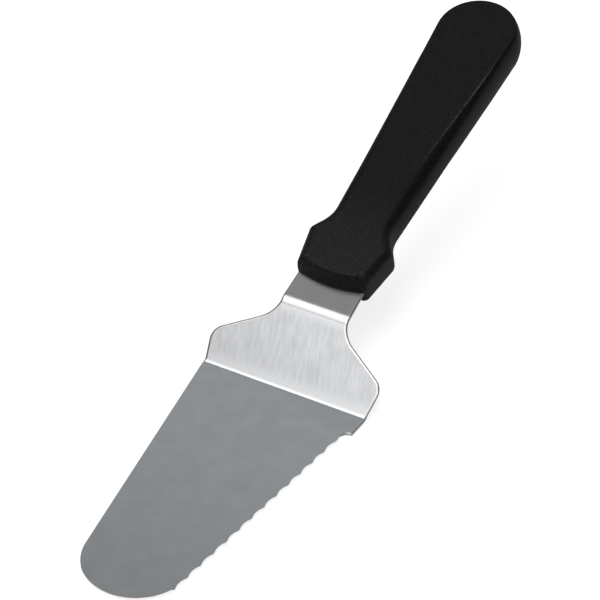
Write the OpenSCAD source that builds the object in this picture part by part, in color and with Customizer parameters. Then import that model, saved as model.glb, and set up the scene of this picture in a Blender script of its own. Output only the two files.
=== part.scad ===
// Offset cake server: a blade stamped and bent from one steel sheet, with a handle moulded
// onto its tang. The flat of the blade lies level. +X runs to the nose, +Y to the scalloped
// edge and +Z up. The origin is on the underside, half way along the flat of the blade.

/* [Blade] */
// Length of the flat of the blade, from the heel bend to the tip of the nose
blade_len = 105.9; // [80:0.1:140]
// Width of the blade at the heel bend
heel_w = 60.3; // [50:0.1:64]
// Radius of the rounded nose
nose_r = 17.6; // [12:0.1:22]
// Thickness of the steel sheet
sheet_t = 1.1; // [0.8:0.05:1.6]

/* [Scalloped edge] */
// Distance from one scallop to the next
scallop_pitch = 6.35; // [4:0.05:9]
// Depth of a scallop, seen from above
scallop_depth = 0.6; // [0.3:0.05:0.9]
// Width of the blunt crest between two scallops
crest_w = 1; // [0.4:0.1:1.6]
// Angle of the grind under the scalloped edge
grind_angle = 25; // [20:1:40]
// How far the ground edge lies inside the plain edge, at the heel
grind_inset = 0.9; // [0.4:0.1:1.5]
// Length of edge that stays unground, from the heel bend
land_len = 7.5; // [5:0.1:12]
// How far that unground edge stands out at its end
land_out = 1.25; // [0.5:0.05:2]
// Radius of the corner in which the grind starts
run_in_r = 3.5; // [2:0.1:5]
// Distance from the end of the unground edge to the first crest
first_crest = 5.7; // [4:0.1:8]
// Height of the blunt edge that the grind leaves at the nose
nose_edge = 0.4; // [0.2:0.05:0.6]
// Direction from the length of the blade in which the nose is ground most
nose_lean = 38; // [30:1:60]

/* [Riser and neck] */
// Angle of the riser above the blade
riser_angle = 40; // [30:0.5:50]
// Angle of the neck and the handle above the blade
neck_angle = 17.5; // [8:0.5:24]
// Length of the riser between its two bends
riser_len = 26.3; // [24:0.1:32]
// Inside radius of the bend at the heel
heel_bend_r = 3; // [2:0.1:4]
// Inside radius of the bend at the neck
neck_bend_r = 7.3; // [4:0.1:10]
// Width across the shoulders, before their corners are rounded
shoulder_w = 64.3; // [62:0.1:68]
// Distance from the heel bend to the shoulders, before their corners are rounded
shoulder_in = 10.2; // [9.5:0.1:12]
// Radius of the rounded shoulders
shoulder_r = 5.5; // [3:0.1:7]
// Angle of the flanks to the length of the server
flank_angle = 57.7; // [54:0.1:62]
// Radius of the fillets between flanks and neck
fillet_r = 11; // [8:0.1:12]
// Width of the neck where it enters the handle
neck_w = 24.7; // [21:0.1:25]
// Length of the neck from its bend to the sides of the handle's front
neck_len = 9.6; // [6:0.1:20]

/* [Tang] */
// Length of the tang inside the handle
tang_len = 78; // [60:0.5:100]
// Width of the tang
tang_w = 15; // [12:0.5:16]
// Depth to which the full width of the neck is seated in the handle
seat_len = 5; // [3:0.1:8]
// Length over which the neck steps down to the tang
step_len = 3.5; // [2:0.1:5]
// Radius of the corners at the tang's end
tang_end_r = 3; // [1:0.1:5]
// Diameter of the holes that the moulding fills
key_hole_d = 6; // [3:0.1:7]
// Number of those holes
key_hole_n = 3; // [1:1:3]
// Distance from one of those holes to the next
key_hole_pitch = 22; // [14:0.5:24]
// Distance from the tang's end to the last of them
key_hole_end = 11; // [8:0.5:14]

/* [Handle] */
// Length of the handle from the sides of its front to the butt
handle_len = 129.7; // [115:0.1:150]
// Thickness of the handle
handle_t = 12.8; // [11.8:0.1:14]
// Radius of the butt, seen from above
butt_r = 15.6; // [13:0.1:19]
// Width of the waist behind the guard
waist_w = 22.5; // [20.4:0.1:25]
// Distance of the waist from the front
waist_at = 23; // [21:0.1:26]
// Width of the guard at its widest, before its corners are rounded
guard_w = 31.6; // [30:0.1:34]
// Distance of the widest place from the front
guard_at = 15.8; // [14:0.1:17]
// Width of the guard's front, before its corners are rounded
front_w = 26.0; // [25.5:0.1:28]
// How far the middle of the front stands forward, before it is rounded
front_crown = 2.9; // [1:0.1:4]
// Radius of the front corners, seen from above
front_r = 2.5; // [2.4:0.1:4]
// Radius of the guard's widest corners, seen from above
guard_r = 3.2; // [3:0.1:5]
// Radius of the hollow at the waist, seen from above
waist_r = 13; // [8:0.1:16]
// Radius of the bulging side walls of the grip, seen along the handle
side_r = 18; // [12:0.5:30]
// Radius of the walls of the guard, seen along the handle
guard_side_r = 45; // [20:1:60]
// Radius of the upper and lower edges at the front
front_edge_r = 5.4; // [3:0.1:5.8]
// Radius of the upper and lower edges of the guard and of the grip behind it
grip_edge_r = 3.4; // [1.5:0.1:3.8]
// Radius of the upper and lower edges at the butt
butt_edge_r = 0.35; // [0.2:0.05:1.2]

/* [Hidden] */

// Share of the unground edge's step that is left at the heel bend
heel_step_share = 0.5;
// Depth of the scallop in which the grind runs in, as a share of the others'
first_cut_share = 0.5;
// Share of the front edge's length that its wide curve takes
front_curve_share = 0.86;
// Stations along the grip between waist and butt at which its edges change
soft_edge_share = 0.44;
crisp_edge_share = 0.82;
// Depth inside the guard's corners towards which their insets shrink
inset_depth = 9;
// Distance by which one outline of the sheet overlaps the next
lap = 0.2;
// Counts of steps round the curves
nose_n = 48;
corner_n = 7;
fillet_n = 10;
heel_n = 10;
neck_n = 7;
butt_n = 18;
grip_n = 10;
wall_n = 3;
edge_n = 5;

// Unit vector of v
function unit(v) = v / norm(v);
// Direction v turned by angle g
function turned(v, g) = [v.x * cos(g) - v.y * sin(g), v.x * sin(g) + v.y * cos(g)];
// Side of the turn from direction u to direction v: 1 to the left, -1 to the right
function side(u, v) = sign(u.x * v.y - u.y * v.x);
// Angle between the directions u and v
function bend_of(u, v) = acos(min(1, u * v));
// Rounded corner c between p and q: a list of [x, y, outward x, outward y], from step m to n
function corner(p, c, q, r, n, m = 0) =
    let (u = unit(c - p), v = unit(q - c), s = side(u, v), g = bend_of(u, v))
    let (start = c - u * r * tan(g / 2), out = [u.y, -u.x], mid = start - s * r * out)
    [for (k = [m:n]) let (w = turned(out, s * g * k / n)) [each mid + s * r * w, each w]];
// Only the places in such a list
function places(list) = [for (p = list) [p.x, p.y]];
// The same list on the other side of the middle line, in reverse
function mirrored(list) = [for (k = [len(list) - 1:-1:0]) [list[k].x, -list[k].y]];

// Flat of the blade, with x measured from the heel bend
nose_x = blade_len - nose_r;
// Fall of an edge that leaves the heel at half width w and touches the nose
function edge_fall(w) = atan2(w, nose_x) - asin(nose_r / norm([nose_x, w]));
plain_fall = edge_fall(heel_w / 2);
crest_at_heel = heel_w / 2 - grind_inset;
crest_fall = edge_fall(crest_at_heel);
function crest_y(x) = crest_at_heel - x * tan(crest_fall);
land_y = heel_w / 2 - land_len * tan(plain_fall) + land_out;
heel_left = heel_w / 2;
heel_right = heel_w / 2 + land_out * heel_step_share;
// Crests lie one pitch apart along the ground edge
crest_step = scallop_pitch * cos(crest_fall);
crest_0 = land_len + first_crest;
scallop_n = ceil((nose_x + nose_r * sin(crest_fall) - crest_0) / crest_step);
last_crest = crest_0 + crest_step * scallop_n;
// Radius of the hollow grind that gives a scallop its depth and leaves the blunt crest
flute_r = pow((scallop_pitch - crest_w) / 2, 2) / (2 * scallop_depth * sin(grind_angle));
// Length of the ground facet from the underside to the edge
facet_len = sheet_t / sin(grind_angle);

// Outline of the riser, with x measured from the end of the heel bend
shoulder_corner = [-shoulder_in, shoulder_w / 2];
neck_in_corner = [-shoulder_in - (shoulder_w - neck_w) / 2 / tan(flank_angle), neck_w / 2];
fillet_x = neck_in_corner.x - fillet_r * tan(flank_angle / 2);
fillet_y = neck_w / 2 + fillet_r;
fillet_end = asin(max(0, -riser_len - fillet_x) / fillet_r);
neck_root = fillet_y - fillet_r * cos(fillet_end);
fillet_points = concat(
    [for (k = [0:fillet_n]) let (g = flank_angle + (fillet_end - flank_angle) * k / fillet_n)
        [fillet_x + fillet_r * sin(g), fillet_y - fillet_r * cos(g)]],
    [[-riser_len - lap, neck_root]]);

// Side view of the sheet, as [x, z] from the heel bend, at height h above its underside
neck_turn = riser_angle - neck_angle;
heel_centre = [0, heel_bend_r + sheet_t];
riser_start = heel_centre - heel_centre.y * [sin(riser_angle), cos(riser_angle)];
riser_end = riser_start + riser_len * [-cos(riser_angle), sin(riser_angle)];
neck_centre = riser_end - neck_bend_r * [sin(riser_angle), cos(riser_angle)];
neck_start = neck_centre + neck_bend_r * [sin(neck_angle), cos(neck_angle)];
tang_end = neck_start + (neck_len + tang_len) * [-cos(neck_angle), sin(neck_angle)];
function sheet_side(h) = concat(
    [[blade_len + lap, h]],
    [for (k = [0:heel_n]) let (g = riser_angle * k / heel_n)
        heel_centre - (heel_centre.y - h) * [sin(g), cos(g)]],
    [for (k = [0:neck_n]) let (g = riser_angle - neck_turn * k / neck_n)
        neck_centre + (neck_bend_r + h) * [sin(g), cos(g)]],
    [tang_end + h * [sin(neck_angle), cos(neck_angle)]]);
side_n = len(sheet_side(0));
// How far the outlines of flat and neck reach back over the bends
heel_back = (heel_bend_r + sheet_t) * sin(riser_angle) + lap;
bend_back = (neck_bend_r + sheet_t) * sin(neck_turn) + lap;
// Reach of a cut above and below the underside of the stretch that it is made in
cut_reach = 2 * sheet_t + neck_bend_r * (1 - cos(neck_turn)) + heel_bend_r * (1 - cos(riser_angle));

// Half of the handle's outline, with x falling from the front to the butt. A row holds a place,
// the way out of it for an inset of 1, and the front's share in the radius of its edges
front_apex = [front_crown, 0];
front_corner = [0, front_w / 2];
guard_corner = [-guard_at, guard_w / 2];
waist_corner = [-waist_at, waist_w / 2];
butt_x = handle_len - butt_r;
grip_rise = asin(butt_r / norm([butt_x - waist_at, waist_w / 2])) - atan2(waist_w / 2, butt_x - waist_at);
butt_corner = [-handle_len, waist_w / 2 + (handle_len - waist_at) * tan(grip_rise)];
butt_tip = [-handle_len, 0];
front_tilt = atan2(front_crown, front_w / 2);
front_reach = norm(front_corner - front_apex) - front_r * tan(45 - front_tilt / 2);
front_curve_r = front_reach * front_curve_share / tan(front_tilt);
// Where the straight of the grip starts and ends
grip_from = waist_at + waist_r * tan((grip_rise + atan2((guard_w - waist_w) / 2, waist_at - guard_at)) / 2);
grip_to = butt_x - butt_r * sin(grip_rise);
grip_points = [for (k = [1:grip_n - 1]) let (a = grip_from + (grip_to - grip_from) * k / grip_n)
    [-a, waist_w / 2 + (a - waist_at) * tan(grip_rise), sin(grip_rise), cos(grip_rise)]];
// The front's share at half width y where the outline faces forward by this much
function front_share(y, forward) = pow(max(0, forward), 2) * max(0, 1 - pow(2 * y / front_w, 2));
// Rounded corner whose insets shrink towards a place inside it, so that they never fold over
function deep_corner(p, c, q, r, n) =
    let (rows = corner(p, c, q, r, n), a = [rows[0][2], rows[0][3]], b = [rows[n][2], rows[n][3]])
    let (focus = c - inset_depth * (a + b) / (1 + a * b))
    [for (w = rows) [w.x, w.y, each ([w.x, w.y] - focus) / inset_depth, front_share(w.y, w[2])]];
front_bend = deep_corner(front_apex, front_corner, guard_corner, front_r, corner_n);
front_curve = corner([front_corner.x, -front_corner.y], front_apex, front_corner, front_curve_r,
    2 * corner_n, corner_n);
// The front's insets spread sideways evenly, up to what its corners need
front_slide = (front_bend[0][3] - front_curve[corner_n][3]) / front_bend[0].y;
front_half = concat(
    [for (w = front_curve) [w.x, w.y, w[2], w[3] + front_slide * w.y, front_share(w.y, w[2])]],
    front_bend,
    deep_corner(front_corner, guard_corner, waist_corner, guard_r, corner_n));
rear_half = concat(
    corner(guard_corner, waist_corner, butt_corner, waist_r, corner_n),
    grip_points,
    corner(waist_corner, butt_corner, butt_tip, butt_r, butt_n));
half_rim = concat(front_half, rear_half);
rim_last = len(half_rim) - 1;
rim = concat(half_rim, [for (k = [rim_last - 1:-1:1])
    let (p = half_rim[k]) [p.x, -p.y, p[2], -p[3], p[4]]]);
rim_n = len(rim);

// Radius of the upper and lower edges of the sides at distance a from the front
function edge_r(a) = lookup(a, [
    [waist_at + (grip_to - waist_at) * soft_edge_share, grip_edge_r],
    [waist_at + (grip_to - waist_at) * crisp_edge_share, butt_edge_r],
    [handle_len, butt_edge_r]]);
// Radius of the walls at distance a from its front
function wall_r(a) = lookup(a, [[guard_at, guard_side_r], [waist_at, side_r]]);
// Upper half of the wall at distance a with the front's share f: a list of [inset, height] from mid height
function wall(a, f) =
    let (h = handle_t / 2, r = edge_r(a) + (front_edge_r - edge_r(a)) * f, b = wall_r(a))
    let (q = sqrt(pow(b - r, 2) - pow(h - r, 2)), g = atan2(h - r, q))
    concat(
        [for (k = [0:wall_n]) [b - b * cos(g * k / wall_n), b * sin(g * k / wall_n)]],
        [for (k = [1:edge_n]) let (w = g + (90 - g) * k / edge_n)
            [b - q - r * cos(w), h - r + r * sin(w)]]);
level_n = wall_n + edge_n;
// The rim's place k at level j, where level 0 is mid height
function skin(k, j) =
    let (p = rim[k], w = wall(-p.x, is_undef(p[4]) ? 0 : p[4])[abs(j)])
    [p.x - w[0] * p[2], p.y - w[0] * p[3], sign(j) * w[1]];
skin_points = [for (j = [-level_n:level_n]) for (k = [0:rim_n - 1]) skin(k, j)];
function at(j, k) = (j + level_n) * rim_n + k % rim_n;
skin_walls = [for (j = [-level_n:level_n - 1]) for (k = [0:rim_n - 1])
    each [[at(j, k), at(j + 1, k), at(j + 1, k + 1)], [at(j, k), at(j + 1, k + 1), at(j, k + 1)]]];
skin_top = [for (k = [rim_n - 1:-1:0]) at(level_n, k)];
skin_bottom = [for (k = [0:rim_n - 1]) at(-level_n, k)];

// Moves its children from the start of the heel bend to the start of the riser
module at_riser() {
    translate([riser_start.x, 0, riser_start.y])
        rotate([0, riser_angle, 0])
            children();
}

// Moves its children from the start of the heel bend to the start of the neck
module at_neck() {
    translate([neck_start.x, 0, neck_start.y])
        rotate([0, neck_angle, 0])
            children();
}

// Moves its children on to the handle's front, at mid thickness of the sheet
module at_handle() {
    at_neck()
        translate([-neck_len, 0, sheet_t / 2])
            children();
}

// Outline of the flat before its edge is ground, taken back over the heel bend
module flat_outline() {
    nose = [for (k = [0:nose_n])
        let (g = plain_fall - 90 + (180 - plain_fall - crest_fall) * k / nose_n)
        [nose_x + nose_r * cos(g), nose_r * sin(g)]];
    grind_from = land_len + run_in_r;
    polygon(concat(
        [[-heel_back, heel_right], [-heel_back, -heel_left], [0, -heel_left]],
        nose,
        [[grind_from, crest_y(grind_from)], [land_len, land_y], [0, heel_right]]));
}

// One hollow grind, sloping up and outward to the edge, at x along the edge
module flute(x, depth) {
    translate([x, crest_y(x), sheet_t])
        rotate([0, 0, -crest_fall])
            translate([0, -depth, 0])
                rotate([grind_angle - 90, 0, 0])
                    translate([0, flute_r, 0])
                        cylinder(r = flute_r, h = 4 * facet_len, center = true, $fn = 180);
}

// The grind that thins the nose from below and fades out towards the plain edge
module nose_grind() {
    facet = (sheet_t - nose_edge) / tan(grind_angle);
    translate([0, 0, -sheet_t])
        difference() {
            translate([last_crest, -heel_w / 2, 0])
                cube([blade_len, heel_w, 2 * sheet_t]);
            translate([nose_x - facet * cos(nose_lean), -facet * sin(nose_lean), 0])
                cylinder(r1 = nose_r - facet_len * cos(grind_angle), r2 = nose_r + facet_len * cos(grind_angle),
                    h = 2 * sheet_t, $fn = 180);
        }
}

// All that the grind takes off the edge
module grind() {
    nose_grind();
    intersection() {
        union() {
            flute(crest_0 - crest_step / 2, scallop_depth * first_cut_share);
            for (k = [0:scallop_n - 1])
                flute(crest_0 + crest_step * (k + 1 / 2), scallop_depth);
        }
        union() {
            translate([land_len + run_in_r, land_y, -sheet_t])
                cylinder(r = run_in_r, h = 3 * sheet_t, $fn = 90);
            translate([land_len + run_in_r, 0, -sheet_t])
                cube([last_crest - land_len - run_in_r, heel_w, 3 * sheet_t]);
        }
    }
}

// Outline of the riser, taken a little way into both bends
module riser_outline() {
    right = concat(
        [[lap, heel_right], [0, heel_right]],
        places(corner([0, heel_right], shoulder_corner, neck_in_corner, shoulder_r, corner_n)),
        fillet_points);
    left = concat(
        [[lap, heel_left], [0, heel_left]],
        places(corner([0, heel_left], shoulder_corner, neck_in_corner, shoulder_r, corner_n)),
        fillet_points);
    polygon(concat(right, mirrored(left)));
}

// Outline of the neck and the tang, taken back over the neck bend
module neck_outline() {
    seat = neck_len + seat_len;
    end = neck_len + tang_len;
    half = concat(
        [[bend_back, neck_root], [0, neck_root], [-neck_len, neck_w / 2]],
        [[-seat, neck_w / 2], [-seat - step_len, tang_w / 2]],
        places(corner([-seat, tang_w / 2], [-end, tang_w / 2], [-end, 0], tang_end_r, corner_n)));
    polygon(concat(half, mirrored(half)));
}

// The whole sheet seen from the side, as wide as its widest place
module bent_sheet() {
    rotate([90, 0, 0])
        linear_extrude(shoulder_w + 2 * land_out, center = true)
            polygon(concat(sheet_side(0), [for (k = [side_n - 1:-1:0]) sheet_side(sheet_t)[k]]));
}

// Neck and tang, with the holes that key them into the handle
module neck_and_tang() {
    difference() {
        intersection() {
            bent_sheet();
            at_neck()
                translate([0, 0, -cut_reach])
                    linear_extrude(2 * cut_reach)
                        neck_outline();
        }
        for (k = [0:key_hole_n - 1])
            at_neck()
                translate([key_hole_end + key_hole_pitch * k - neck_len - tang_len, 0, -cut_reach])
                    cylinder(d = key_hole_d, h = 2 * cut_reach, $fn = 48);
    }
}

module blade() {
    color([0.76, 0.77, 0.78])
        translate([-blade_len / 2, 0, 0])
            union() {
                difference() {
                    intersection() {
                        bent_sheet();
                        union() {
                            translate([0, 0, -cut_reach])
                                linear_extrude(2 * cut_reach)
                                    flat_outline();
                            at_riser()
                                translate([0, 0, -cut_reach])
                                    linear_extrude(2 * cut_reach)
                                        riser_outline();
                        }
                    }
                    grind();
                }
                neck_and_tang();
            }
}

module handle() {
    color([0.13, 0.13, 0.14])
        translate([-blade_len / 2, 0, 0])
            difference() {
                at_handle()
                    polyhedron(skin_points, concat(skin_walls, [skin_top, skin_bottom]), convexity = 6);
                neck_and_tang();
            }
}

blade();
handle();
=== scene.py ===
"""An offset cake server: a bent steel blade with one scalloped edge, and a handle moulded on to it."""
import math
from functools import partial
import bmesh
import bpy
import numpy as np
from mathutils import Matrix, Vector


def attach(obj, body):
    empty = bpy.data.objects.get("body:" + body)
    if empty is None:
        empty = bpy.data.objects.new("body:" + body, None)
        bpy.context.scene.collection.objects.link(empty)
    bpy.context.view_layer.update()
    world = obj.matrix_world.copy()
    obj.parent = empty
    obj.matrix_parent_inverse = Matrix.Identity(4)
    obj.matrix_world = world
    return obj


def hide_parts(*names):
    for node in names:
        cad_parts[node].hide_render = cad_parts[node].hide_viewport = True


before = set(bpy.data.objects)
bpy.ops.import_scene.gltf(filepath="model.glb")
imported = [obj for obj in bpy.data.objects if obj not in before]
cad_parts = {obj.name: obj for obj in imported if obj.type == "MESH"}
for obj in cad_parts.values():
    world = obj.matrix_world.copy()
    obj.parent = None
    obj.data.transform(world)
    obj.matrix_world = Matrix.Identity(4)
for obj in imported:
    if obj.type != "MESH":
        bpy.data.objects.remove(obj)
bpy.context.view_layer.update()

# One millimetre in Blender's metres. All sizes below are given in millimetres and degrees
MM = 0.001

# Flat of the blade: its length, its width at the heel bend, the nose's radius and the sheet's thickness
BLADE_LEN = 105.9
HEEL_W = 60.3
NOSE_R = 17.6
SHEET_T = 1.1

# Scalloped edge: the distance between scallops, their depth, and the width of the crest between two
SCALLOP_PITCH = 6.35
SCALLOP_DEPTH = 0.6
CREST_W = 1.0
# Angle of the grind, and how far the ground edge lies inside the plain one at the heel
GRIND_ANGLE = math.radians(25)
GRIND_INSET = 0.9
# The unground land beside the heel bend: its length, and how far it stands out at its end
LAND_LEN = 7.5
LAND_OUT = 1.25
# Radius of the corner in which the grind starts, the distance from the land to the first crest, and the
# depth of the scallop between those two as a share of the others'
RUN_IN_R = 3.5
FIRST_CREST = 5.7
FIRST_CUT_SHARE = 0.5
# Height of the blunt edge that the grind leaves at the nose, and the direction in which it is ground most
NOSE_EDGE = 0.4
NOSE_LEAN = math.radians(38)

# Riser and neck: their angles above the blade, the riser's length, and the inside radii of the two bends
RISER_ANGLE = math.radians(40)
NECK_ANGLE = math.radians(17.5)
RISER_LEN = 26.3
HEEL_BEND_R = 3.0
NECK_BEND_R = 7.3
# How far the edge still stands out at the heel bend, as a share of LAND_OUT
HEEL_STEP_SHARE = 0.5
# Width across the shoulders, their distance from the heel bend, and the radius of their corners
SHOULDER_W = 64.3
SHOULDER_IN = 10.2
SHOULDER_R = 5.5
# Angle of the flanks to the server's length, and the radius of the fillets between flanks and neck
FLANK_ANGLE = math.radians(57.7)
FILLET_R = 11.0
# The neck's width where it enters the handle, and its length from its bend to there
NECK_W = 24.7
NECK_LEN = 9.6

# Tang, how deep the neck's full width is seated in the handle, and the step from there to the tang
TANG_LEN = 78.0
TANG_W = 15.0
SEAT_LEN = 5.0
STEP_LEN = 3.5
TANG_END_R = 3.0

# Handle: its length from the sides of its front to the butt, its thickness, and the butt's radius
HANDLE_LEN = 129.7
HANDLE_T = 12.8
BUTT_R = 15.6
# Widths of the waist, the guard and its front, and how far behind the front the first two are
WAIST_W = 22.5
WAIST_AT = 23.0
GUARD_W = 31.6
GUARD_AT = 15.8
FRONT_W = 26.0
# How far the front's middle stands forward, the radius of the front's corners, and the share of the front
# that is curved
FRONT_CROWN = 2.9
FRONT_R = 2.5
FRONT_CURVE_SHARE = 0.86
# Radii of the guard's corners and of the waist, seen from above
GUARD_R = 3.2
WAIST_R = 13.0
# Radii of the bulging walls of the grip and of the guard, seen along the handle
SIDE_R = 18.0
GUARD_SIDE_R = 45.0
# Radii of part.scad's edges at the front, on the guard and the grip behind it, and round the butt. The
# grip's changes to the butt's between these shares of the grip
FRONT_EDGE_R = 5.4
GRIP_EDGE_R = 3.4
BUTT_EDGE_R = 0.35
SOFT_EDGE_SHARE = 0.44
CRISP_EDGE_SHARE = 0.82
# How far inside a corner of the guard its insets would meet
INSET_DEPTH = 9.0
# The flat top cuts off the rounding of the front: its radius, and how far below the flat it begins
FRONT_ROUND_R = 9.0
FRONT_FALL = 6.2
# It also cuts off the grip's rounding: its radius, the steepest tilt at which it meets the flat, and the
# shares of the grip at which the cut starts and is full
GRIP_ROUND_R = 4.4
GRIP_CUT = math.radians(45)
CUT_FROM_SHARE = 0.2
CUT_FULL_SHARE = 0.8
# From this share of the grip on, the rounding shrinks to the crisp edge round the butt
SHRINK_FROM_SHARE = 0.87
# Painted highlight on the grip's crisp edge: the shares of the full cut at which it starts and is full, and
# the distances before the end of the straight grip between which it fades out
HIGHLIGHT_CUT_SHARES = (0.1, 0.7)
HIGHLIGHT_FADE = (24, 6)

# The press leaves the heel bend crisp at its start: tilts in degrees at shares of its curved length
HEEL_SHARES = (0, 0.2, 0.6, 1)
HEEL_TILTS = (0, 20, 32, 40)
# Width of the sheet's edges, which part.scad leaves square: sheared and tumbled ones on the blade, its
# land and the riser, and the ground one. They roll over to this slope and end in a small round, which
# takes this share of the width
PLAIN_EDGE_W = 0.2
LAND_EDGE_W = 0.5
RISER_EDGE_W = 0.8
GROUND_EDGE_W = 0.07
ROLL_SLOPE = math.radians(35)
ROLL_END_SHARE = 0.15

# Steps round each curve, and rows along each stretch of the sheet
EDGE_STEPS = 6
HEEL_STEPS = 60
NOSE_STEPS = 27
SCALLOP_STEPS = 16
SHOULDER_STEPS = 40
FILLET_STEPS = 30
RISER_ROWS = 60
NECK_BEND_ROWS = 15
TANG_ROWS = 30
SHEET_COLUMNS = 12
CORNER_STEPS = 12
WALL_STEPS = 8
CRISP_STEPS = 3
# Longest step along the handle's outline
OUTLINE_STEP = 1.5
# Width of the faces that keep the flats flat, and how far inside the edge of the handle's flats a second
# ring lies
KEEP_FLAT = 0.2
FLAT_RING = 0.9
# Points this near to each other become one
MERGE_WITHIN = 0.002

# Camera: the point it looks at in millimetres, its azimuth and elevation, its distance in metres, and its
# focal length and sensor width in millimetres
CAMERA_AIM = (-98.15, -17.89, 1.1)
CAMERA_AZIMUTH = math.radians(28.97)
CAMERA_ELEVATION = math.radians(38.32)
CAMERA_AWAY = 0.817
CAMERA_LENS = 142.18
CAMERA_SENSOR = 36
# Distance of the light panels and half the width of the floor, in metres. The floor is this far below the
# blade in millimetres, so that the two don't touch
PANEL_AWAY = 1.2
FLOOR_HALF_W = 1.2
FLOOR_GAP = 0.3
# Brightness of the even studio around the object
STUDIO_LIGHT = 0.12

# What follows from those sizes
CAMERA_WAY = (math.cos(CAMERA_ELEVATION) * math.cos(CAMERA_AZIMUTH),
              math.cos(CAMERA_ELEVATION) * math.sin(CAMERA_AZIMUTH), math.sin(CAMERA_ELEVATION))
NOSE_X = BLADE_LEN - NOSE_R
CREST_AT_HEEL = HEEL_W / 2 - GRIND_INSET


def edge_fall(half_w):
    """Angle at which an edge that leaves the heel at this half width runs in to touch the nose."""
    return math.atan2(half_w, NOSE_X) - math.asin(NOSE_R / math.hypot(NOSE_X, half_w))


PLAIN_FALL = edge_fall(HEEL_W / 2)
CREST_FALL = edge_fall(CREST_AT_HEEL)
LAND_Y = HEEL_W / 2 - LAND_LEN * math.tan(PLAIN_FALL) + LAND_OUT
HEEL_RIGHT = HEEL_W / 2 + LAND_OUT * HEEL_STEP_SHARE
CREST_STEP = SCALLOP_PITCH * math.cos(CREST_FALL)
CREST_0 = LAND_LEN + FIRST_CREST
GRIND_FROM = LAND_LEN + RUN_IN_R
SCALLOP_N = math.ceil((NOSE_X + NOSE_R * math.sin(CREST_FALL) - CREST_0) / CREST_STEP)
LAST_CREST = CREST_0 + CREST_STEP * SCALLOP_N
FLUTE_R = ((SCALLOP_PITCH - CREST_W) / 2) ** 2 / (2 * SCALLOP_DEPTH * math.sin(GRIND_ANGLE))
HEEL_ARC = (HEEL_BEND_R + SHEET_T / 2) * RISER_ANGLE
NECK_ARC = (NECK_BEND_R + SHEET_T / 2) * (RISER_ANGLE - NECK_ANGLE)


def along(angle):
    """Direction in which the sheet runs on towards the butt where it is tilted by this angle, as x, z."""
    return np.array([-math.cos(angle), math.sin(angle)])


def upward(angle):
    """Direction out of the sheet's upper face where it is tilted by this angle, as x, z."""
    return np.array([math.sin(angle), math.cos(angle)])


HEEL_CENTRE = np.array([0, HEEL_BEND_R + SHEET_T])
RISER_START = HEEL_CENTRE - (HEEL_BEND_R + SHEET_T) * upward(RISER_ANGLE)
RISER_END = RISER_START + RISER_LEN * along(RISER_ANGLE)
NECK_CENTRE = RISER_END - NECK_BEND_R * upward(RISER_ANGLE)
NECK_START = NECK_CENTRE + NECK_BEND_R * upward(NECK_ANGLE)


def heel_path():
    """The heel bend at mid thickness: rows of its place along the sheet, its tilt, x and z."""
    shares = np.linspace(0, 1, HEEL_STEPS + 1)
    tilts = np.radians(np.interp((shares[1:] + shares[:-1]) / 2, HEEL_SHARES, HEEL_TILTS))
    reach = (HEEL_BEND_R + SHEET_T / 2) * math.tan(RISER_ANGLE / 2)
    length = reach * math.sin(RISER_ANGLE) / np.sin(tilts).mean()
    flat = reach * (1 + math.cos(RISER_ANGLE)) - length * np.cos(tilts).mean()
    x = -flat - np.concatenate([[0], np.cumsum(np.cos(tilts))]) * length / HEEL_STEPS
    z = SHEET_T / 2 + np.concatenate([[0], np.cumsum(np.sin(tilts))]) * length / HEEL_STEPS
    place = -flat + (flat - HEEL_ARC) * shares
    return place[::-1], np.radians(np.interp(shares, HEEL_SHARES, HEEL_TILTS))[::-1], x[::-1], z[::-1]


HEEL_PATH = heel_path()


def bent(u, y, z):
    """Places of points of the flat sheet once it is bent.

    u falls from the nose to the tang and is 0 at the heel bend.
    """
    out = np.empty((len(u), 3))
    for i, (at, height) in enumerate(zip(u, z)):
        if at >= HEEL_PATH[0][-1]:
            side = np.array([at, height])
        elif at >= -HEEL_ARC:
            turn, x_mid, z_mid = (float(np.interp(at, HEEL_PATH[0], values)) for values in HEEL_PATH[1:])
            side = np.array([x_mid, z_mid]) + (height - SHEET_T / 2) * upward(turn)
        elif at >= -HEEL_ARC - RISER_LEN:
            side = RISER_START - (at + HEEL_ARC) * along(RISER_ANGLE) + height * upward(RISER_ANGLE)
        elif at >= -HEEL_ARC - RISER_LEN - NECK_ARC:
            share = -(at + HEEL_ARC + RISER_LEN) / NECK_ARC
            turn = RISER_ANGLE + (NECK_ANGLE - RISER_ANGLE) * share
            side = NECK_CENTRE + (NECK_BEND_R + height) * upward(turn)
        else:
            run = -(at + HEEL_ARC + RISER_LEN + NECK_ARC)
            side = NECK_START + run * along(NECK_ANGLE) + height * upward(NECK_ANGLE)
        out[i] = side[0] - BLADE_LEN / 2, y[i], side[1]
    return out * MM


def corner(p, c, q, r, n, m=0):
    """Rounded corner c between p and q: rows of x, y, outward x, outward y, from step m to step n."""
    p, c, q = (np.array(v, float) for v in (p, c, q))
    u = (c - p) / np.linalg.norm(c - p)
    v = (q - c) / np.linalg.norm(q - c)
    turn_side = math.copysign(1, u[0] * v[1] - u[1] * v[0])
    turn = math.acos(min(1, float(u @ v)))
    out = np.array([u[1], -u[0]])
    middle = c - u * r * math.tan(turn / 2) - turn_side * r * out
    rows = []
    for k in range(m, n + 1):
        g = turn_side * turn * k / n
        cos_g, sin_g = math.cos(g), math.sin(g)
        w = np.array([out[0] * cos_g - out[1] * sin_g, out[0] * sin_g + out[1] * cos_g])
        rows.append([*(middle + turn_side * r * w), *w])
    return rows


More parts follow.
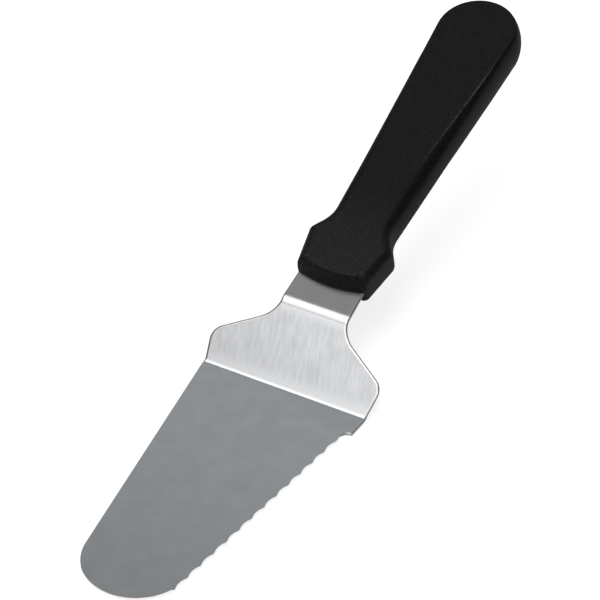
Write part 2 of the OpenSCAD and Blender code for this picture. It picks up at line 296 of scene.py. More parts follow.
def scallop_wave(x):
    """How far the ground edge lies outside the crest line at x, on the upper face.

    It is 0 or less but for the ridges between the flutes.
    """
    first = x < CREST_0
    phase = (x - CREST_0) % CREST_STEP - CREST_STEP / 2
    if first:
        phase = x - (CREST_0 - CREST_STEP / 2)
    s = min(abs(phase) / math.cos(CREST_FALL), FLUTE_R)
    depth = SCALLOP_DEPTH * (FIRST_CUT_SHARE if first else 1)
    return -depth + (FLUTE_R - math.sqrt(FLUTE_R**2 - s * s)) / math.sin(GRIND_ANGLE)


def ground_edge(x, depth):
    """Place on the scalloped edge as x, y, at this depth below the upper face, from x on the crest line."""
    crest = CREST_AT_HEEL - x * math.tan(CREST_FALL)
    cut = min(0, scallop_wave(x) - depth / math.tan(GRIND_ANGLE))
    if x < GRIND_FROM:
        share = (x - LAND_LEN) / RUN_IN_R
        chord = LAND_Y + (CREST_AT_HEEL - GRIND_FROM * math.tan(CREST_FALL) - LAND_Y) * share
        arc = LAND_Y - math.sqrt(max(0, RUN_IN_R**2 - (x - GRIND_FROM) ** 2))
        return x, min(chord, max(arc, crest + cut / math.cos(CREST_FALL)))
    return x + cut * math.sin(CREST_FALL), crest + cut * math.cos(CREST_FALL)


def land_edge(x, depth):
    """Place on the unground edge at x. It is the same at any depth below the upper face."""
    return x, HEEL_RIGHT + (LAND_Y - HEEL_RIGHT) * x / LAND_LEN


def nose_reach(angle, depth):
    """Distance from the nose's middle to its edge in this direction, at this depth below the upper face."""
    facet = (SHEET_T - NOSE_EDGE) / math.tan(GRIND_ANGLE)
    cone = NOSE_R + facet + (NOSE_EDGE - depth) / math.tan(GRIND_ANGLE)
    off = angle - NOSE_LEAN
    reach = -facet * math.cos(off) + math.sqrt(cone**2 - (facet * math.sin(off)) ** 2)
    return min(NOSE_R, reach)


def riser_side(heel_y):
    """One edge of the riser and the neck as u, y, from the heel bend to the tang's end, both falling."""
    shoulder = (-SHOULDER_IN, SHOULDER_W / 2)
    neck_in = (-SHOULDER_IN - (SHOULDER_W - NECK_W) / 2 / math.tan(FLANK_ANGLE), NECK_W / 2)
    fillet_x = neck_in[0] - FILLET_R * math.tan(FLANK_ANGLE / 2)
    fillet_y = NECK_W / 2 + FILLET_R
    fillet_end = math.asin(max(0, -RISER_LEN - fillet_x) / FILLET_R)
    points = [(0, heel_y)]
    points += [tuple(row[:2]) for row in corner(points[0], shoulder, neck_in, SHOULDER_R, SHOULDER_STEPS)]
    for k in range(FILLET_STEPS + 1):
        g = FLANK_ANGLE + (fillet_end - FLANK_ANGLE) * k / FILLET_STEPS
        points.append((fillet_x + FILLET_R * math.sin(g), fillet_y - FILLET_R * math.cos(g)))
    points = [(u - HEEL_ARC, y) for u, y in points]
    root = fillet_y - FILLET_R * math.cos(fillet_end)
    start = -HEEL_ARC - RISER_LEN - NECK_ARC
    seat = NECK_LEN + SEAT_LEN
    points += [(start, root), (start - NECK_LEN, NECK_W / 2), (start - seat, NECK_W / 2)]
    points += [(start - seat - STEP_LEN, TANG_W / 2)]
    return points


def blade_stations():
    """Places along the flat from the nose to the heel, as stations() gives them."""
    rows = []
    nose_turn = math.acos((LAST_CREST - NOSE_X) / NOSE_R)
    for k in range(NOSE_STEPS):
        a = nose_turn * k / NOSE_STEPS

        def nose_side(depth, a=a, side=1):
            r = nose_reach(a * side, depth)
            return NOSE_X + r * math.cos(a), r * math.sin(a)

        way = (math.cos(a), math.sin(a))
        rows.append((nose_side, way, PLAIN_EDGE_W / 2, partial(nose_side, side=-1), way, PLAIN_EDGE_W))
    ground = np.linspace(LAST_CREST, GRIND_FROM, SCALLOP_STEPS * SCALLOP_N + 1)
    run_in = [GRIND_FROM - RUN_IN_R * math.sin(math.radians(g)) for g in range(10, 91, 10)]
    land = [LAND_LEN - 2 * LAND_EDGE_W, LAND_LEN * 2 / 3, LAND_LEN / 3, KEEP_FLAT]
    touch = NOSE_X + NOSE_R * math.sin(PLAIN_FALL)
    for x in [*ground, *run_in, *land]:
        on_nose = x > touch

        def left(depth, x=x, on_nose=on_nose):
            if on_nose:
                return x, math.sqrt(NOSE_R**2 - (x - NOSE_X) ** 2)
            return x, HEEL_W / 2 - x * math.tan(PLAIN_FALL)

        left_a = math.acos((x - NOSE_X) / NOSE_R) if on_nose else math.pi / 2 - PLAIN_FALL
        left_way = (math.cos(left_a), math.sin(left_a))
        if x >= LAND_LEN:
            right = partial(ground_edge, x)
            fade = min(1, max(0, (x - LAND_LEN) / RUN_IN_R))
            edge_w = LAND_EDGE_W + (GROUND_EDGE_W - LAND_EDGE_W) * fade
            lean = math.pi / 2 - CREST_FALL
            if x < GRIND_FROM:
                # Along the round run-in, the way out of the edge turns from 45 to 90 degrees
                lean = math.radians(45) * (1 + (x - LAND_LEN) / RUN_IN_R)
            right_way = (math.cos(lean), math.sin(lean))
        else:
            right = partial(land_edge, x)
            edge_w, right_way = LAND_EDGE_W, (0, 1)
        rows.append((right, right_way, edge_w, left, left_way, PLAIN_EDGE_W))
    return rows


def bent_stations():
    """Places along the heel bend, the riser, the neck and the tang, as stations() gives them."""
    right_line = np.array(riser_side(HEEL_RIGHT))
    left_line = np.array(riser_side(HEEL_W / 2))
    start = -HEEL_ARC - RISER_LEN - NECK_ARC
    end = start - NECK_LEN - TANG_LEN
    seat = start - NECK_LEN - SEAT_LEN
    places = [0, HEEL_PATH[0][-1] + KEEP_FLAT / 2, *HEEL_PATH[0][::-2], -HEEL_ARC - KEEP_FLAT]
    places += [*np.linspace(-HEEL_ARC - 2 * KEEP_FLAT, -HEEL_ARC - RISER_LEN + KEEP_FLAT, RISER_ROWS)]
    places += [*np.linspace(-HEEL_ARC - RISER_LEN, start, NECK_BEND_ROWS), start - KEEP_FLAT]
    places += [*np.linspace(start - NECK_LEN / 3, start - NECK_LEN, 3), seat, seat - STEP_LEN]
    places += [*np.linspace(seat - STEP_LEN - KEEP_FLAT, end + TANG_END_R + KEEP_FLAT, TANG_ROWS)]
    places += [end + TANG_END_R - TANG_END_R * math.sin(math.radians(g)) for g in range(0, 91, 15)]
    # Distance to the two points that give an edge's direction
    near = 0.1
    rows = []
    for u in places:
        sides = []
        for line, blade_w in ((right_line, LAND_EDGE_W), (left_line, PLAIN_EDGE_W)):
            edge_w = float(np.interp(-u, (0, HEEL_ARC), (blade_w, RISER_EDGE_W)))
            y, ahead, behind = (float(np.interp(at, -line[:, 0], line[:, 1]))
                                for at in (-u, -u - near, -u + near))
            lean = math.atan2((behind - ahead) / (2 * near), 1)
            if u < end + TANG_END_R:
                drop = TANG_END_R - math.sqrt(max(0, TANG_END_R**2 - (end + TANG_END_R - u) ** 2))
                y = TANG_W / 2 - drop
                lean = -math.asin(min(1, (end + TANG_END_R - u) / TANG_END_R))
            sides += [lambda depth, u=u, y=y: (u, y), (math.sin(lean), math.cos(lean)), edge_w]
        rows.append(tuple(sides))
    return rows


def stations():
    """Places along the sheet, from the nose to the tang's end.

    Each is a list of right, its way out and its edge's width, and then the same for left. right and left
    are functions that give the edge as u and half width, for a depth below the upper face.
    """
    return blade_stations() + bent_stations()


def rim_levels(width):
    """Rolled edge of the sheet: rows of depth below the upper face and inset, down to the lower face."""
    small = width * ROLL_END_SHARE
    large = (width - small * (1 - math.sin(ROLL_SLOPE))) / math.sin(ROLL_SLOPE)
    upper = [(large * (1 - math.cos(g)), width - large * math.sin(g))
             for g in np.linspace(0, ROLL_SLOPE, EDGE_STEPS - 1)]
    rolled = upper[-1][0] + small * math.cos(ROLL_SLOPE)
    upper += [(rolled - small * math.cos(g), small * (1 - math.sin(g)))
              for g in ((ROLL_SLOPE + math.pi / 2) / 2, math.pi / 2)]
    return upper + [(SHEET_T - depth, inset) for depth, inset in reversed(upper)]


def spread(n, width):
    """Shares across a face of this width, with a strip along both sides that keeps its flat shading.

    A strip is narrow, and never wider than a quarter of the face.
    """
    strip = min(0.25, KEEP_FLAT / max(width, KEEP_FLAT))
    return [0, *np.linspace(strip, 1 - strip, n), 1]


def make_piece(name, points, faces, rim, uv=None):
    """A mesh object from rows of points, in metres, with doubles merged and faces turned outwards.

    rim says how far each point belongs to the sheet's polished edge, which is also painted brighter as a
    highlight, or to the handle's painted edge highlight, from 0 to 1. uv holds the points' places on the
    flat sheet.
    """
    mesh = bpy.data.meshes.new(name)
    mesh.from_pydata([tuple(p) for p in points], [], faces)
    mesh.attributes.new("rim", "FLOAT", "POINT").data.foreach_set("value", rim)
    if uv is not None:
        layer = mesh.uv_layers.new(name="flat_sheet")
        for loop in mesh.loops:
            layer.data[loop.index].uv = uv[loop.vertex_index]
    work = bmesh.new()
    work.from_mesh(mesh)
    bmesh.ops.remove_doubles(work, verts=work.verts, dist=MERGE_WITHIN * MM)
    bmesh.ops.dissolve_degenerate(work, edges=work.edges, dist=MERGE_WITHIN * MM)
    bmesh.ops.recalc_face_normals(work, faces=work.faces)
    work.to_mesh(mesh)
    work.free()
    for polygon in mesh.polygons:
        polygon.use_smooth = True
    piece = bpy.data.objects.new(name, mesh)
    bpy.context.scene.collection.objects.link(piece)
    return piece


def lattice_faces(rows, loop_n):
    """Faces between rows of points, each row a closed loop of loop_n points."""
    faces = []
    for i in range(rows - 1):
        for j in range(loop_n):
            k = (j + 1) % loop_n
            faces.append((i * loop_n + j, i * loop_n + k, (i + 1) * loop_n + k, (i + 1) * loop_n + j))
    return faces


def make_sheet():
    """The bent steel sheet with its tumbled and ground edges, from the nose to the end of the tang."""
    flat, rim = [], []
    for right, right_way, right_w, left, left_way, left_w in stations():
        sides = []
        for edge, way, edge_w, sign in ((right, right_way, right_w, 1), (left, left_way, left_w, -1)):
            side = []
            for depth, inset in rim_levels(edge_w):
                u, y = edge(depth)
                side.append((u - inset * way[0], sign * (y - inset * way[1]), SHEET_T - depth))
            sides.append(np.array(side))
        right_rim, left_rim = sides
        loop = list(right_rim)
        low = (right_rim[-1], left_rim[-1])
        high = (left_rim[0], right_rim[0])
        between = spread(SHEET_COLUMNS, np.linalg.norm(low[0] - low[1]))[1:-1]
        loop += [low[0] + (low[1] - low[0]) * s for s in between]
        loop += list(left_rim[::-1])
        loop += [high[0] + (high[1] - high[0]) * s for s in between]
        flat.append(loop)
        rim += ([1.0] * len(right_rim) + [0.0] * SHEET_COLUMNS) * 2
    rows, loop_n = len(flat), len(flat[0])
    flat = np.array(flat).reshape(-1, 3)
    faces = lattice_faces(rows, loop_n)
    levels = 2 * EDGE_STEPS + 2
    last = (rows - 1) * loop_n
    # The end face of the tang joins its upper and its lower side, and has a face at both edges
    low_side = [last + levels - 1 + k for k in range(SHEET_COLUMNS + 2)]
    high_side = [last + (2 * levels + SHEET_COLUMNS - 1 + k) % loop_n for k in range(SHEET_COLUMNS + 2)]
    high_side.reverse()
    for k in range(SHEET_COLUMNS + 1):
        faces.append((low_side[k], low_side[k + 1], high_side[k + 1], high_side[k]))
    faces.append(tuple(last + k for k in range(levels)))
    faces.append(tuple(last + levels + SHEET_COLUMNS + k for k in range(levels)))
    return make_piece("blade_sheet", bent(*flat.T), faces, rim, flat[:, [1, 0]] * MM)


def front_share(way):
    """The front's share in the rounding of the edges, where the outline faces this way along the handle."""
    return max(0, way) ** 2


def deep_corner(p, c, q, r):
    """Rounded corner of the handle's outline whose insets shrink towards a place inside it."""
    rows = corner(p, c, q, r, CORNER_STEPS)
    first, last = np.array(rows[0][2:]), np.array(rows[-1][2:])
    focus = np.array(c) - INSET_DEPTH * (first + last) / (1 + first @ last)
    return [[x, y, (x - focus[0]) / INSET_DEPTH, (y - focus[1]) / INSET_DEPTH, front_share(way_x)]
            for x, y, way_x, _ in rows]


def handle_rim():
    """Half of the handle's outline from the front to the butt, and how far the straight grip reaches.

    The outline is rows of x, y, way out x and y, and the front's share in the rounding.
    """
    n = CORNER_STEPS
    apex, front = (FRONT_CROWN, 0), (0, FRONT_W / 2)
    guard, waist = (-GUARD_AT, GUARD_W / 2), (-WAIST_AT, WAIST_W / 2)
    butt_x = HANDLE_LEN - BUTT_R
    run = butt_x - WAIST_AT
    rise = math.asin(BUTT_R / math.hypot(run, WAIST_W / 2)) - math.atan2(WAIST_W / 2, run)
    butt = (-HANDLE_LEN, WAIST_W / 2 + (HANDLE_LEN - WAIST_AT) * math.tan(rise))
    tilt = math.atan2(FRONT_CROWN, FRONT_W / 2)
    reach = math.hypot(FRONT_CROWN, FRONT_W / 2) - FRONT_R * math.tan(math.pi / 4 - tilt / 2)
    bend = deep_corner(apex, front, guard, FRONT_R)
    crown_r = reach * FRONT_CURVE_SHARE / math.tan(tilt)
    crown = corner((0, -FRONT_W / 2), apex, front, crown_r, 2 * n, n)
    slide = (bend[0][3] - crown[-1][3]) / bend[0][1]
    rows = [[x, y, way_x, way_y + slide * y, front_share(way_x)] for x, y, way_x, way_y in crown]
    rows += bend + deep_corner(front, guard, waist, GUARD_R)
    rows += [w + [0] for w in corner(guard, waist, butt, WAIST_R, n)]
    rows += [w + [0] for w in corner(waist, butt, (-HANDLE_LEN, 0), BUTT_R, 3 * n)]
    grip_to = butt_x - BUTT_R * math.sin(rise)
    filled = [rows[0]]
    for a, b in zip(rows, rows[1:]):
        steps = max(1, math.ceil(math.hypot(b[0] - a[0], b[1] - a[1]) / OUTLINE_STEP))
        filled += [list(np.array(a) + (np.array(b) - np.array(a)) * k / steps) for k in range(1, steps + 1)]
    return filled, grip_to


def handle_wall(a, r, cut):
    """One half of the handle's wall at distance a from its front, from mid height outwards.

    Its edge has radius r, and the flat cuts the rounding off at this tilt. The rows are inset, height.
    """
    n = WALL_STEPS
    bulge = float(np.interp(a, [GUARD_AT, WAIST_AT], [GUARD_SIDE_R, SIDE_R]))
    middle = HANDLE_T / 2 - BUTT_EDGE_R - (r - BUTT_EDGE_R) * math.cos(cut)
    q = math.sqrt((bulge - r) ** 2 - middle**2)
    g = math.atan2(middle, q)
    wall = [(bulge - bulge * math.cos(g * k / n), bulge * math.sin(g * k / n)) for k in range(n + 1)]
    for k in range(1, n + 1):
        w = g + (math.pi / 2 - cut - g) * k / n
        wall.append((bulge - q - r * math.cos(w), middle + r * math.sin(w)))
    crease = (bulge - q - (r - BUTT_EDGE_R) * math.sin(cut), middle + (r - BUTT_EDGE_R) * math.cos(cut))
    for k in range(1, CRISP_STEPS + 1):
        w = cut * (1 - k / CRISP_STEPS)
        wall.append((crease[0] - BUTT_EDGE_R * math.sin(w), crease[1] + BUTT_EDGE_R * math.cos(w)))
    # Two last rings, just inside the edge, keep the shading of the flat flat
    return wall + [(wall[-1][0] + more, wall[-1][1]) for more in (KEEP_FLAT, FLAT_RING)]


def upper_wall(a, share, run):
    """Upper half of the wall, and the tilt at which the flat cuts the grip's rounding off.

    share is the front's share in the rounding, and run is the length of the grip.
    """
    cut_marks = [WAIST_AT + run * CUT_FROM_SHARE, WAIST_AT + run * CUT_FULL_SHARE]
    grip_cut = float(np.interp(a, cut_marks, [0, GRIP_CUT]))
    front_cut = math.acos((FRONT_FALL - BUTT_EDGE_R) / (FRONT_ROUND_R - BUTT_EDGE_R))
    marks = [GUARD_AT, 2 * WAIST_AT, WAIST_AT + run * SHRINK_FROM_SHARE, HANDLE_LEN - BUTT_R / 2]
    grip_r = float(np.interp(a, marks, [GRIP_EDGE_R, GRIP_ROUND_R, GRIP_ROUND_R, BUTT_EDGE_R]))
    r = grip_r + (FRONT_ROUND_R - grip_r) * share
    return handle_wall(a, r, grip_cut + (front_cut - grip_cut) * share), grip_cut


def lower_wall(a, share, run):
    """Lower half of the wall, hidden in the photo, with the edges of part.scad."""
    marks = [WAIST_AT + run * SOFT_EDGE_SHARE, WAIST_AT + run * CRISP_EDGE_SHARE]
    r = float(np.interp(a, marks, [GRIP_EDGE_R, BUTT_EDGE_R]))
    return handle_wall(a, r + (FRONT_EDGE_R - r) * share, 0)


def make_handle():
    """The handle's moulding as one closed skin: walls with rounded edges, and a flat top and bottom."""
    half, grip_to = handle_rim()
    rim = half + [[x, -y, way_x, -way_y, share] for x, y, way_x, way_y, share in half[-2:0:-1]]
    run = grip_to - WAIST_AT
    upper, cuts = zip(*(upper_wall(-x, share, run) for x, _, _, _, share in rim))
    lower = [lower_wall(-x, share * max(0, 1 - (2 * y / FRONT_W) ** 2), run) for x, y, _, _, share in rim]
    top = len(upper[0]) - 1
    fade_out = [grip_to - before for before in HIGHLIGHT_FADE]
    points, edge_highlights = [], []
    for level in range(-top, top + 1):
        # The painted highlight is on the three rings round the crisp edge, on the scalloped blade edge's
        # side
        on_crisp_edge = top - CRISP_STEPS - 1 < level < top
        for (x, y, way_x, way_y, _), wall, cut in zip(rim, upper if level > 0 else lower, cuts):
            inset, height = wall[abs(level)]
            points.append((x - inset * way_x, y - inset * way_y, math.copysign(height, level)))
            highlight_share = np.interp(cut / GRIP_CUT, HIGHLIGHT_CUT_SHARES, (0, 1)) * np.interp(-x, fade_out, (1, 0))
            edge_highlights.append(float(highlight_share) if on_crisp_edge and y > 0 else 0)
    points = np.array(points)
    faces = lattice_faces(2 * top + 1, len(rim))
    faces.append(tuple(range(len(rim))))
    faces.append(tuple(range(len(points) - len(rim), len(points))))
    # From the handle's own axes to its place on the neck, at mid thickness of the sheet
    origin = NECK_START + NECK_LEN * along(NECK_ANGLE) + SHEET_T / 2 * upward(NECK_ANGLE)
    placed = np.empty_like(points)
    side = origin - points[:, :1] * along(NECK_ANGLE) + points[:, 2:] * upward(NECK_ANGLE)
    placed[:, 0] = side[:, 0] - BLADE_LEN / 2
    placed[:, 1] = points[:, 1]
    placed[:, 2] = side[:, 1]
    return make_piece("handle_moulding", placed * MM, faces, edge_highlights)


def linear(hex_colour):
    """A colour in Blender's linear values from its sRGB hex value."""
    parts = [int(hex_colour[i:i + 2], 16) / 255 for i in (0, 2, 4)]
    return tuple(c / 12.92 if c <= 0.04045 else ((c + 0.055) / 1.055) ** 2.4 for c in parts) + (1,)


def add_node(tree, kind, settings=None, links=None, **values):
    """A node with its settings, what is linked into it, and its sockets' values.

    A value is given by its socket's name, or as _1 for the socket with number 1.
    """
    node = tree.nodes.new(kind)
    for key, value in (settings or {}).items():
        setattr(node, key, value)
    for key, value in values.items():
        socket = int(key[1:]) if key.startswith("_") else key.replace("_", " ")
        node.inputs[socket].default_value = value
    for key, source in (links or {}).items():
        tree.links.new(source, node.inputs[key])
    return node


def new_material(name):
    """An empty material, with its node tree and its output."""
    material = bpy.data.materials.new(name)
    material.use_nodes = True
    tree = material.node_tree
    tree.nodes.clear()
    output = tree.nodes.new("ShaderNodeOutputMaterial")
    return material, tree, output


def brushed_stainless_steel():
    """Stainless steel sheet, belt-brushed along its length.

    Its fine straight streaks are painted strong where light rakes the riser, and faint on the flat.
    Highlights are drawn out across the streaks. The cut edge is polished and also painted brighter as a
    highlight, and the riser beside both bends carries a painted highlight.
    """
    material, tree, output = new_material("brushed_stainless_steel")
    smooth = {"interpolation_type": "SMOOTHSTEP"}
    in_plane = {"noise_dimensions": "2D"}
    place = add_node(tree, "ShaderNodeUVMap", {"uv_map": "flat_sheet"}).outputs["UV"]
    # The belt ran some 13 degrees askew
    belt = (0, 0, math.radians(13))
    askew = add_node(tree, "ShaderNodeMapping", None, {"Vector": place}, Rotation=belt).outputs[0]
    # Streaks 0.3 mm wide and some 4 mm long. Real grit lines are some 0.05 mm wide, finer than the render
    # can show
    fine_way = add_node(tree, "ShaderNodeMapping", None, {"Vector": askew},
                        Scale=(1 / (0.3 * MM), 1 / (4 * MM), 1))
    fine = add_node(tree, "ShaderNodeTexNoise", in_plane, {"Vector": fine_way.outputs[0]}, Scale=1, Detail=0)
    # Broader bands where the belt pressed harder, 1.2 mm wide and 12 mm long
    broad_way = add_node(tree, "ShaderNodeMapping", None, {"Vector": askew},
                         Scale=(1 / (1.2 * MM), 1 / (12 * MM), 1))
    broad = add_node(tree, "ShaderNodeTexNoise", in_plane, {"Vector": broad_way.outputs[0]},
                     Scale=1, Detail=0)
    both = add_node(tree, "ShaderNodeMath", {"operation": "ADD"},
                    {0: fine.outputs["Fac"], 1: broad.outputs["Fac"]})
    # The streaks are painted strong on the riser, where the light rakes it, and faint on the flat in front
    # of it and on the neck
    length = add_node(tree, "ShaderNodeSeparateXYZ", None, {0: place}).outputs["Y"]
    on_riser = add_node(tree, "ShaderNodeMath", {"operation": "COMPARE"}, {0: length},
                        _1=(-HEEL_ARC - RISER_LEN / 2) * MM, _2=(RISER_LEN / 2 + 1) * MM)
    strength = add_node(tree, "ShaderNodeMapRange", None, {"Value": on_riser.outputs[0]},
                        To_Min=0.02, To_Max=0.34)
    # The two noises add up to 1 on average
    offset = add_node(tree, "ShaderNodeMath", {"operation": "SUBTRACT"}, {0: both.outputs[0]}, _1=1)
    # Faint cloudy patches 7 mm wide, left by wiping
    cloud = add_node(tree, "ShaderNodeTexNoise", in_plane, {"Vector": place}, Scale=1 / (7 * MM), Detail=1)
    cloudy = add_node(tree, "ShaderNodeMapRange", None, {"Value": cloud.outputs["Fac"]},
                      To_Min=0.38, To_Max=0.62)
    streak = add_node(tree, "ShaderNodeMath", {"operation": "MULTIPLY_ADD"},
                      {0: offset.outputs[0], 1: strength.outputs[0], 2: cloudy.outputs[0]})
    colour = add_node(tree, "ShaderNodeMix", {"data_type": "RGBA"}, {"Factor": streak.outputs[0]},
                      _6=linear("B0B1B3"), _7=linear("E4E5E7"))
    # The riser is painted brighter beside both bends, over 5 mm and 4 mm: a painted highlight that carries
    # on the bends' bright bands
    neck_bend = -HEEL_ARC - RISER_LEN
    at_heel = add_node(tree, "ShaderNodeMapRange", smooth, {"Value": length},
                       From_Min=(-HEEL_ARC - 5) * MM, From_Max=-HEEL_ARC * MM)
    at_neck = add_node(tree, "ShaderNodeMapRange", smooth, {"Value": length},
                       From_Min=(neck_bend + 4) * MM, From_Max=neck_bend * MM)
    beside = add_node(tree, "ShaderNodeMath", {"operation": "MAXIMUM"},
                      {0: at_heel.outputs[0], 1: at_neck.outputs[0]})
    painted_bend_highlight = add_node(tree, "ShaderNodeMath", {"operation": "MULTIPLY"},
                         {0: beside.outputs[0], 1: on_riser.outputs[0]})
    # The sheared and tumbled edge is polished, and also painted brighter as a highlight on its rounding
    edge = add_node(tree, "ShaderNodeAttribute", {"attribute_name": "rim"})
    bright = add_node(tree, "ShaderNodeMath", {"operation": "MAXIMUM"},
                      {0: painted_bend_highlight.outputs[0], 1: edge.outputs["Fac"]})
    edge_colour = add_node(tree, "ShaderNodeMix", {"data_type": "RGBA"},
                           {"Factor": bright.outputs[0], 6: colour.outputs[2]}, _7=linear("DBDCDE"))
    # A faint line of middle grey, 0.5 mm wide, is painted across the sheet where the neck's bend begins
    mark = add_node(tree, "ShaderNodeMath", {"operation": "COMPARE"}, {0: length},
                    _1=(neck_bend + 0.2) * MM, _2=0.25 * MM)
    marked = add_node(tree, "ShaderNodeMix", {"data_type": "RGBA"},
                      {"Factor": mark.outputs[0], 6: edge_colour.outputs[2]}, _7=linear("C4C5C7"))
    rough = add_node(tree, "ShaderNodeMapRange", None, {"Value": broad.outputs["Fac"]},
                     From_Min=0, From_Max=1, To_Min=0.255, To_Max=0.275)
    across = add_node(tree, "ShaderNodeTangent", {"direction_type": "UV_MAP", "uv_map": "flat_sheet"})
    shader = add_node(tree, "ShaderNodeBsdfPrincipled", None,
                      {"Base Color": marked.outputs[2], "Roughness": rough.outputs[0],
                       "Tangent": across.outputs[0]},
                      Metallic=1, Anisotropic=0.6)
    tree.links.new(shader.outputs[0], output.inputs[0])
    return material


def moulded_polypropylene():
    """Black polypropylene with a spark-eroded mould grain: dull and finely speckled.

    The guard has a higher specular level as a painted sheen, with pits painted light as glints, and one
    crisp edge of the grip has a painted grey highlight.
    """
    material, tree, output = new_material("moulded_polypropylene")
    place = add_node(tree, "ShaderNodeTexCoord").outputs["Object"]
    # Grain of 0.6 mm, with finer pits in it. The real grain is nearer 0.1 mm, finer than the render can show
    grain = add_node(tree, "ShaderNodeTexNoise", None, {"Vector": place},
                     Scale=1 / (0.6 * MM), Detail=2, Roughness=0.6).outputs["Fac"]
    bump = add_node(tree, "ShaderNodeBump", None, {"Height": grain}, Strength=0.8, Distance=0.07 * MM)
    rough = add_node(tree, "ShaderNodeMapRange", None, {"Value": grain},
                     From_Min=0.3, From_Max=0.7, To_Min=0.42, To_Max=0.52)
    # From the grip behind X -125 mm to the guard in front of X -95 mm, the specular level rises as a painted
    # sheen, and painted glints of pits appear
    length = add_node(tree, "ShaderNodeSeparateXYZ", None, {0: place}).outputs["X"]
    guard = add_node(tree, "ShaderNodeMapRange", {"interpolation_type": "SMOOTHSTEP"}, {"Value": length},
                     From_Min=-125 * MM, From_Max=-95 * MM).outputs[0]
    sheen = add_node(tree, "ShaderNodeMapRange", None, {"Value": guard}, To_Min=0.21, To_Max=0.34)
    speckle = add_node(tree, "ShaderNodeMapRange", None, {"Value": grain}, From_Min=0.38, From_Max=0.68)
    black = add_node(tree, "ShaderNodeMix", {"data_type": "RGBA"}, {"Factor": speckle.outputs[0]},
                     _6=linear("040405"), _7=linear("1E2025"))
    # Single pits, up to 0.5 mm wide, painted light grey as glints, from a pattern with cells of 1.6 mm
    cells = add_node(tree, "ShaderNodeTexVoronoi", None, {"Vector": place}, Scale=1 / (1.6 * MM))
    pit = add_node(tree, "ShaderNodeMapRange", None, {"Value": cells.outputs["Distance"]},
                   From_Min=0.16, From_Max=0.08, To_Max=0.18)
    pit_glints = add_node(tree, "ShaderNodeMath", {"operation": "MULTIPLY"}, {0: pit.outputs[0], 1: guard})
    # The painted highlight on the crisp edge is broken up into spots of 0.9 mm
    edge = add_node(tree, "ShaderNodeAttribute", {"attribute_name": "rim"})
    spots = add_node(tree, "ShaderNodeTexNoise", None, {"Vector": place}, Scale=1 / (0.9 * MM), Detail=1)
    spotted = add_node(tree, "ShaderNodeMapRange", None, {"Value": spots.outputs["Fac"]},
                       From_Min=0.3, From_Max=0.7, To_Max=0.34)
    painted_edge_highlight = add_node(tree, "ShaderNodeMath", {"operation": "MULTIPLY"},
                     {0: edge.outputs["Fac"], 1: spotted.outputs[0]})
    # The pits' painted glints and the crisp edge's painted highlight are both mixed in as light grey
    painted_glints_and_highlight = add_node(tree, "ShaderNodeMath", {"operation": "MAXIMUM"},
                    {0: painted_edge_highlight.outputs[0], 1: pit_glints.outputs[0]})
    colour = add_node(tree, "ShaderNodeMix", {"data_type": "RGBA"},
                      {"Factor": painted_glints_and_highlight.outputs[0], 6: black.outputs[2]}, _7=linear("8A8C90"))
    shader = add_node(tree, "ShaderNodeBsdfPrincipled", None,
                      {"Specular IOR Level": sheen.outputs[0], "Roughness": rough.outputs[0],
                       "Normal": bump.outputs[0], "Base Color": colour.outputs[2]},
                      IOR=1.49)
    tree.links.new(shader.outputs[0], output.inputs[0])
    return material


def white_paper():
    """Matt white paper under the object.

    To the camera it glows a little, so that it shows white around a faint shadow.
    """
    material, tree, output = new_material("white_paper")
    ray = add_node(tree, "ShaderNodeLightPath")
    paper = add_node(tree, "ShaderNodeBsdfDiffuse", Color=linear("F2F2F2"))
    glow = add_node(tree, "ShaderNodeEmission", None, {"Strength": ray.outputs["Is Camera Ray"]},
                    Color=linear("E2E2E2"))
    both = add_node(tree, "ShaderNodeAddShader", None, {0: paper.outputs[0], 1: glow.outputs[0]})
    tree.links.new(both.outputs[0], output.inputs[0])
    return material


def add_floor():
    """A square of white paper that the blade lies on."""
    half = FLOOR_HALF_W
    corners = [(-half, -half, 0), (half, -half, 0), (half, half, 0), (-half, half, 0)]
    mesh = bpy.data.meshes.new("paper_floor")
    mesh.from_pydata(corners, [], [(0, 1, 2, 3)])
    floor = bpy.data.objects.new("paper_floor", mesh)
    floor.location.z = -FLOOR_GAP * MM
    bpy.context.scene.collection.objects.link(floor)
    mesh.materials.append(white_paper())


def mirrored_view(place, tilt):
    """Point at the panels' distance that the camera sees mirrored in the sheet at this place and tilt."""
    place = np.array(place) * MM
    away = np.array(CAMERA_AIM) * MM + np.array(CAMERA_WAY) * CAMERA_AWAY - place
    away /= np.linalg.norm(away)
    out = np.array([math.sin(math.radians(tilt)), 0, math.cos(math.radians(tilt))])
    return place + (2 * (away @ out) * out - away) * PANEL_AWAY


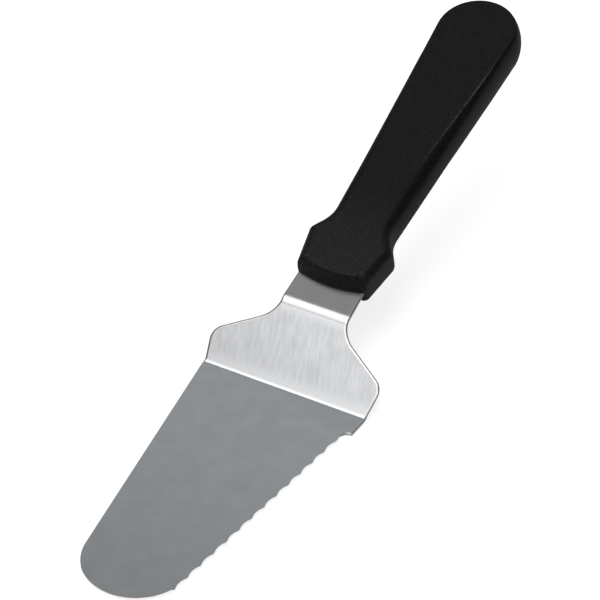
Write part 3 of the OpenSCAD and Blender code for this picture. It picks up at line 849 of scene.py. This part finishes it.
def add_panel(name, low, high, y_range, radiance, tint=(1, 1, 1)):
    """A soft light panel from one mirrored point to another, and over this range of Y in metres.

    low and high are each a place on the sheet in millimetres and its tilt in degrees.
    """
    low, high = mirrored_view(*low), mirrored_view(*high)
    middle = (low + high) / 2
    middle[1] = sum(y_range) / 2
    side = Vector((high[0] - low[0], 0, high[2] - low[2])).normalized()
    light = bpy.data.lights.new(name, "AREA")
    light.shape = "RECTANGLE"
    light.size = math.dist(low[[0, 2]], high[[0, 2]])
    light.size_y = y_range[1] - y_range[0]
    light.color = tint
    light.energy = radiance * math.pi * light.size * light.size_y
    across = Vector((0, 1, 0))
    turned = Matrix((side, across, side.cross(across))).transposed().to_4x4()
    panel = bpy.data.objects.new(name, light)
    panel.matrix_world = Matrix.Translation(middle) @ turned
    bpy.context.scene.collection.objects.link(panel)


def add_lights():
    """Soft panels over the sheet, each mirrored in one stretch of it, and an even studio around them."""
    nose, heel = (45, 0, 1), (-53, 0, 1)
    add_panel("blade_panel", (heel, -9), (nose, -1), (-1.0, 0.2), 0.385, (0.88, 0.965, 1))
    add_panel("fill_panel", (nose, -1), (heel, 20), (-0.9, 0.1), 0.2)
    add_panel("bend_panel", (heel, 21), (heel, 32), (-0.8, 0.2), 1.9)
    add_panel("fading_panel", (heel, 32), (heel, 38.5), (-0.7, 0.3), 1.35)
    add_panel("riser_panel", (heel, 38.5), (heel, 45), (-0.6, 0.05), 1.1)
    add_panel("side_panel", (heel, 35), (heel, 45), (0.05, 0.75), 1.15)
    world = bpy.data.worlds.new("studio")
    world.use_nodes = True
    background = world.node_tree.nodes["Background"]
    background.inputs["Color"].default_value = (1, 1, 1, 1)
    background.inputs["Strength"].default_value = STUDIO_LIGHT
    bpy.context.scene.world = world


def add_camera():
    """The photograph's view: from the nose's right, 38 degrees above the blade."""
    camera = bpy.data.objects.new("camera", bpy.data.cameras.new("camera"))
    camera.data.lens = CAMERA_LENS
    camera.data.sensor_width = CAMERA_SENSOR
    away = Vector(CAMERA_WAY)
    camera.location = Vector(CAMERA_AIM) * MM + away * CAMERA_AWAY
    camera.rotation_euler = away.to_track_quat("Z", "Y").to_euler()
    bpy.context.scene.collection.objects.link(camera)
    bpy.context.scene.camera = camera


def dress(piece, node, material):
    """Gives a piece its material and its body, and hides the CAD node that it stands for."""
    piece.data.materials.append(material)
    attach(piece, "root")
    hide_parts(node)


add_camera()
add_floor()
add_lights()
dress(make_sheet(), "blade", brushed_stainless_steel())
dress(make_handle(), "handle", moulded_polypropylene())
bpy.context.scene.view_settings.view_transform = "Standard"
